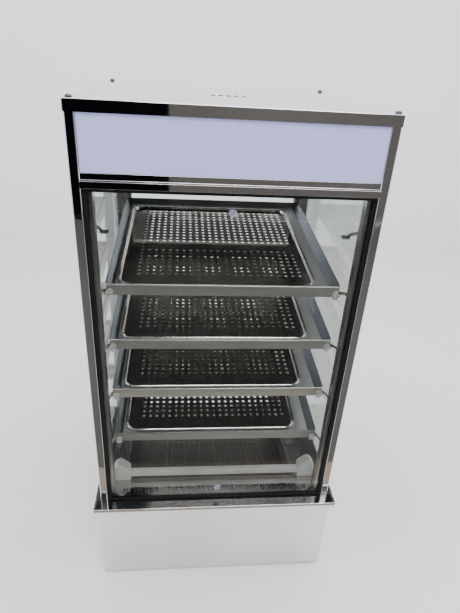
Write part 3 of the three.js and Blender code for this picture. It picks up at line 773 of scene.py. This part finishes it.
def build_roof_screw(node):
    low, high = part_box(node)
    radius = (high.x - low.x) / 2
    seat = high.z - SCREW_HEAD
    profile = [(0, low.z), (SCREW_SHANK, low.z), (SCREW_SHANK, seat), (radius, seat)]
    for k in range(1, 9):
        t = math.radians(90 * k / 8)
        profile.append((radius * math.cos(t) if k < 8 else 0, seat + 0.3 * MM + 3.7 * MM * math.sin(t)))
    screw = lathe(f"{node}_fine", profile, 24)
    screw.location = ((low.x + high.x) / 2, (low.y + high.y) / 2, 0)
    # The screw head takes the painted dark reflection.
    dress_for(screw, node, material=SCREW_PAINTED_REFLECTION)


# ---------------------------------------------------------------- glass


def build_glass():
    for node in ("front_glass", "rear_door_glass"):
        refined(node, 0.5 * MM, 2)
    # The side panes take the glass with painted shade.
    for node in ("left_glass", "right_glass"):
        refined(node, 0.5 * MM, 2, SIDE_GLASS_PAINTED_SHADE)
    refined("front_glass_seal", 0.9 * MM, 3)
    for node in ("glass_pad_upper", "glass_pad_lower"):
        build_pad(node)


def build_pad(node):
    """A round pad with a raised rim and a small dimple in the middle."""
    low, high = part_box(node)
    radius = (high.x - low.x) / 2
    depth = high.y - low.y
    profile = [
        (0, 0),
        (radius * 0.92, 0),
        (radius, depth * 0.12),
        (radius, depth * 0.8),
        (radius * 0.93, depth),
        (radius * 0.74, depth),
        (radius * 0.66, depth * 0.72),
        (radius * 0.30, depth * 0.66),
        (radius * 0.24, depth * 0.3),
        (0, depth * 0.28),
    ]
    pad = lathe(f"{node}_fine", profile, 32, "Y")
    # The raised rim faces the customer.
    pad.rotation_euler.z = math.pi
    pad.location = (0, high.y, (low.z + high.z) / 2)
    dress_for(pad, node)


# ---------------------------------------------------------------- shelves

SHELF_DEPTH = 412 * MM
SHELF_HEIGHT = 22 * MM
SHELF_HALF = 218 * MM
FRAME_WALL = 2.5 * MM
FRAME_FOOT = 15 * MM  # width of a side rail where it meets the flange
FLANGE_SIDE = 58 * MM  # from the frame's outside to the flange's inner edge
FLANGE_END = 42 * MM
FLANGE_TOP = -14 * MM
WIRES = 8
WIRE_PITCH = 3 * HOLE_PITCH  # the wires run between the rows of holes
WIRE_RADIUS = 1.3 * MM
TRAY_LEFT = -200 * MM
TRAY_RIGHT = 177 * MM
TRAY_FRONT = 16 * MM
TRAY_REAR = 380 * MM
TRAY_CORNER = 27 * MM
TRAY_BOTTOM = -13.7 * MM
TRAY_TOP = -6.5 * MM
HOLES_MIDDLE = Vector((-4.5 * MM, 211 * MM, 0))
TRAY_SHEET = 0.8 * MM


def shelf_place(number):
    """The shelf's own frame: x from the middle, y back from its front edge, z up from its top."""
    low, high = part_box(f"shelf_frame_{number}")
    spot = Vector((0, low.y, high.z - SHELF_DEPTH * math.sin(SHELF_TILT)))
    return Matrix.Translation(spot) @ Matrix.Rotation(SHELF_TILT, 4, "X")


def ring_solid(bm, x0, x1, y0, y1, corner, section, steps=8):
    """A closed band round a rectangle. The section is (inset x, inset y, z) points in a loop."""
    rings = []
    for inset_x, inset_y, z in section:
        radius = max(0.4 * MM, corner - min(inset_x, inset_y))
        loop = rounded_loop(x0 + inset_x, x1 - inset_x, y0 + inset_y, y1 - inset_y, radius, steps)
        rings.append(loop_verts(bm, loop, z))
    for lower, upper in zip(rings, rings[1:] + rings[:1]):
        bridge_loops(bm, lower, upper)


def rod(bm, start, stop, radius, sides=8):
    along = (stop - start).normalized()
    turn = along.to_track_quat("Z", "Y").to_matrix()
    rings = []
    for spot in (start, stop):
        ring = [turn @ Vector((x, y, 0)) + spot for x, y in circle(0, 0, radius, sides)]
        rings.append([bm.verts.new(p) for p in ring])
    bridge_loops(bm, *rings)
    for ring in rings:
        bm.faces.new(ring)


def shelf_frame_mesh():
    edge = FRAME_WALL / 2
    section = [(0, 0, -SHELF_HEIGHT)]
    for k in range(7):
        t = math.radians(30 * k)
        inset = edge * (1 - math.cos(t))
        section.append((inset, inset, -edge * (1 - math.sin(t))))
    section += [
        (FRAME_FOOT, FRAME_WALL, FLANGE_TOP),
        (FLANGE_SIDE, FLANGE_END, FLANGE_TOP),
        (FLANGE_SIDE, FLANGE_END, FLANGE_TOP - SHEET),
        (FRAME_FOOT, FRAME_WALL, FLANGE_TOP - SHEET),
        (FRAME_FOOT, FRAME_WALL, -SHELF_HEIGHT),
    ]
    bm = bmesh.new()
    ring_solid(bm, -SHELF_HALF, SHELF_HALF, 0, SHELF_DEPTH, 5 * MM, section, 6)
    for k in range(WIRES):
        x = HOLES_MIDDLE[0] + (k - (WIRES - 1) / 2) * WIRE_PITCH
        z = FLANGE_TOP - SHEET - WIRE_RADIUS / 2
        front = Vector((x, 2 * FRAME_WALL, z))
        rod(bm, front, Vector((x, SHELF_DEPTH - 2 * FRAME_WALL, z)), WIRE_RADIUS)
    return from_bmesh("shelf_frame_1_fine", bm)


def perforated_floor(bm, centre, low, high):
    """A grid of round holes through a sheet. Gives the edge of its top and its underside."""
    half = HOLE_PITCH / 2
    placed = {}

    def corner_vert(x, y, z):
        key = (round(x * 1e6), round(y * 1e6), z)
        if key not in placed:
            placed[key] = bm.verts.new((x, y, z))
        return placed[key]

    turns = [math.radians(45 + 360 * k / HOLE_SIDES) for k in range(HOLE_SIDES)]
    for row in range(HOLE_ROWS):
        for column in range(HOLE_COLUMNS):
            cx = centre.x + (column - (HOLE_COLUMNS - 1) / 2) * HOLE_PITCH
            cy = centre.y + (row - (HOLE_ROWS - 1) / 2) * HOLE_PITCH
            rims = []
            for z in (high, low):
                hole = []
                cell = []
                for t in turns:
                    c, s = math.cos(t), math.sin(t)
                    reach = half / max(abs(c), abs(s))
                    hole.append(bm.verts.new((cx + HOLE_RADIUS * c, cy + HOLE_RADIUS * s, z)))
                    cell.append(corner_vert(cx + reach * c, cy + reach * s, z))
                bridge_loops(bm, cell, hole)
                rims.append(hole)
            bridge_loops(bm, *rims)
    return placed


def grid_edge(placed, centre, z):
    """The outer edge of the perforated grid at one height, in order round it."""
    reach_x = HOLE_COLUMNS * HOLE_PITCH / 2 - 0.01 * MM
    reach_y = HOLE_ROWS * HOLE_PITCH / 2 - 0.01 * MM
    rim = []
    for vertex in placed.values():
        away = vertex.co - centre
        if abs(vertex.co.z - z) < 0.001 * MM and (abs(away.x) > reach_x or abs(away.y) > reach_y):
            rim.append(vertex)
    return sorted(rim, key=lambda v: math.atan2(v.co.y - centre.y, v.co.x - centre.x))


def tray_mesh():
    """A perforated tray with upturned sides and a rolled wire rim."""
    bm = bmesh.new()
    low, high = TRAY_BOTTOM, TRAY_BOTTOM + TRAY_SHEET
    placed = perforated_floor(bm, HOLES_MIDDLE, low, high)
    sides = (TRAY_LEFT, TRAY_RIGHT, TRAY_FRONT, TRAY_REAR)

    def loop(inset, z):
        x0, x1, y0, y1 = sides
        line = rounded_loop(x0 + inset, x1 - inset, y0 + inset, y1 - inset, TRAY_CORNER - inset)
        return loop_verts(bm, line, z)

    turn, foot = 3 * MM, 8 * MM
    rim_radius, rim_inset, rim_z = 2.1 * MM, 2.4 * MM, TRAY_TOP - 2.1 * MM
    inner, outer = [], []
    for k in range(5):
        t = math.radians(90 * k / 4)
        inner.append(loop(foot - turn * math.sin(t), high + turn * (1 - math.cos(t))))
        wide = turn + TRAY_SHEET
        outer.append(loop(foot - wide * math.sin(t), low + wide * (1 - math.cos(t))))
    inner.append(loop(foot - turn, rim_z))
    outer.append(loop(foot - turn - TRAY_SHEET, rim_z))
    for rings in (inner, outer):
        for a, b in zip(rings, rings[1:]):
            bridge_loops(bm, a, b)
    bridge_loops(bm, inner[-1], outer[-1])
    fill_between(bm, inner[0], [grid_edge(placed, HOLES_MIDDLE, high)])
    fill_between(bm, outer[0], [grid_edge(placed, HOLES_MIDDLE, low)])
    section = []
    for x, z in circle(rim_inset, rim_z, rim_radius, 10):
        section.append((x, x, z))
    ring_solid(bm, *sides, TRAY_CORNER, section)
    return from_bmesh("shelf_tray_1_fine", bm)


def ball(bm, centre, size, sides=16):
    """A squashed ball."""
    made = bmesh.ops.create_uvsphere(bm, u_segments=sides, v_segments=sides // 2, radius=1)
    for vertex in made["verts"]:
        vertex.co = centre + Vector(a * b for a, b in zip(vertex.co, size))


def ring_tube(bm, centre, radius, tube, sides=20):
    """A round ring that stands in the xz plane."""
    rings = []
    for k in range(sides):
        t = 2 * math.pi * k / sides
        around = circle(radius, 0, tube, 8)
        ring = [centre + Vector((r * math.cos(t), y, r * math.sin(t))) for r, y in around]
        rings.append([bm.verts.new(p) for p in ring])
    for a, b in zip(rings, rings[1:] + rings[:1]):
        bridge_loops(bm, a, b)


def build_clip(number, side, place):
    """A small clip at one end of the shelf's front wall: a ring on its face and a lobe under it."""
    bm = bmesh.new()
    x = side * (SHELF_HALF - 9 * MM)
    ring_tube(bm, Vector((x, -0.5 * MM, -15 * MM)), 4.6 * MM, 1.1 * MM)
    rod(bm, Vector((x, 1 * MM, -15 * MM)), Vector((x, -1.1 * MM, -15 * MM)), 2.2 * MM, 14)
    ball(bm, Vector((x + side * 1.5 * MM, 1.5 * MM, -26 * MM)), (6.5 * MM, 3.5 * MM, 3.8 * MM))
    rod(bm, Vector((x, 1.5 * MM, -26 * MM)), Vector((x, 1.5 * MM, -18 * MM)), 1.8 * MM, 10)
    name = "left" if side < 0 else "right"
    clip = from_bmesh(f"shelf_clip_{number}_{name}", bm)
    smooth(clip)
    clip.matrix_world = place
    dress(clip, NODE_BODY[f"shelf_frame_{number}"], "white_plastic")


def shade_frame(frame_piece):
    """Painted shade on the rails' inner faces, a painted highlight on the flange, and painted shade on the
    underside and wires.
    """
    for finish in (SHADED_STEEL, FLANGE_PAINTED_LIGHT, UNDERSIDE_PAINTED_SHADE):
        frame_piece.data.materials.append(finish)
    for polygon in frame_piece.data.polygons:
        x, y, z = polygon.center
        inside_x = abs(x) < SHELF_HALF - SHADE_MARGIN
        inside = inside_x and SHADE_MARGIN < y < SHELF_DEPTH - SHADE_MARGIN
        if inside and z > FLANGE_TOP + 0.5 * MM:
            polygon.material_index = 1
        elif inside and z > FLANGE_TOP - SHEET / 2:
            polygon.material_index = 2
        elif inside:
            polygon.material_index = 3


def shade_tray(tray_piece):
    """Painted shade on the tray's underside."""
    tray_piece.data.materials.append(UNDERSIDE_PAINTED_SHADE)
    for polygon in tray_piece.data.polygons:
        if polygon.normal.z < -0.5 and polygon.center.z < TRAY_BOTTOM + TRAY_SHEET / 2:
            polygon.material_index = 1


def build_shelves():
    frame_piece = shelf_frame_mesh()
    tray_piece = tray_mesh()
    smooth(frame_piece)
    smooth(tray_piece)
    for number in SHELVES:
        if number > 1:
            frame_piece = frame_piece.copy()
            tray_piece = tray_piece.copy()
            bpy.context.scene.collection.objects.link(frame_piece)
            bpy.context.scene.collection.objects.link(tray_piece)
            frame_piece.name = f"shelf_frame_{number}_fine"
            tray_piece.name = f"shelf_tray_{number}_fine"
            frame_piece.parent = None
            tray_piece.parent = None
            del frame_piece["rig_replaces"], tray_piece["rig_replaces"]
        place = shelf_place(number)
        frame_piece.matrix_world = place
        tray_piece.matrix_world = place
        frame_piece.data = frame_piece.data.copy()
        # The lowest shelf's rail gets painted shade, and the others get a painted highlight.
        rail_steel = RAIL_PAINTED_SHADE if number == SHELVES[-1] else RAIL_PAINTED_HIGHLIGHT
        dress_for(frame_piece, f"shelf_frame_{number}", material=rail_steel)
        shade_frame(frame_piece)
        dress_for(tray_piece, f"shelf_tray_{number}")
        shade_tray(tray_piece)
        for side in (-1, 1):
            build_clip(number, side, place)
    for end in ("front", "rear"):
        for side in ("left", "right"):
            refined(f"standard_{end}_{side}", 0.35 * MM, 2, SATIN_UPRIGHT)


# ---------------------------------------------------------------- floor lamp


def build_floor_lamp():
    refined("floor_lamp_bar", 0.3 * MM, 2)
    for side in ("left", "right"):
        refined(f"floor_lamp_holder_{side}", 2.2 * MM, 4)


# ---------------------------------------------------------------- rear door and controls


def build_door():
    refined("rear_door_frame", 1.0 * MM)
    refined("rear_door_handle", 0.3 * MM, 1)
    for level in ("upper", "lower"):
        refined(f"{level}_hinge_leaf_post", 0.3 * MM, 2)
        refined(f"{level}_hinge_leaf_door", 0.3 * MM, 2)
    refined("door_catch", 0.8 * MM)


def build_controls():
    refined("thermostat_body", 0.6 * MM, 2)
    refined("thermostat_knob", 0.7 * MM)
    for switch in ("power_switch", "lamp_switch"):
        refined(f"{switch}_housing", 0.5 * MM, 2)
        refined(f"{switch}_rocker", 0.6 * MM)
    refined("power_inlet", 0.5 * MM, 2)
    refined("pilot_light", 0.5 * MM, 2)
    refined("heating_element", 0.3 * MM, 1)


# ---------------------------------------------------------------- run

build_room()
build_cards()
build_light()
build_camera()
build_base()
build_posts()
build_header()
build_roof()
build_glass()
build_shelves()
build_floor_lamp()
build_door()
build_controls()

for node, thing in frame["nodes"].items():
    if not thing.hide_render:
        thing.data.materials.clear()
        thing.data.materials.append(FINISH[NODE_SLOT[node]])
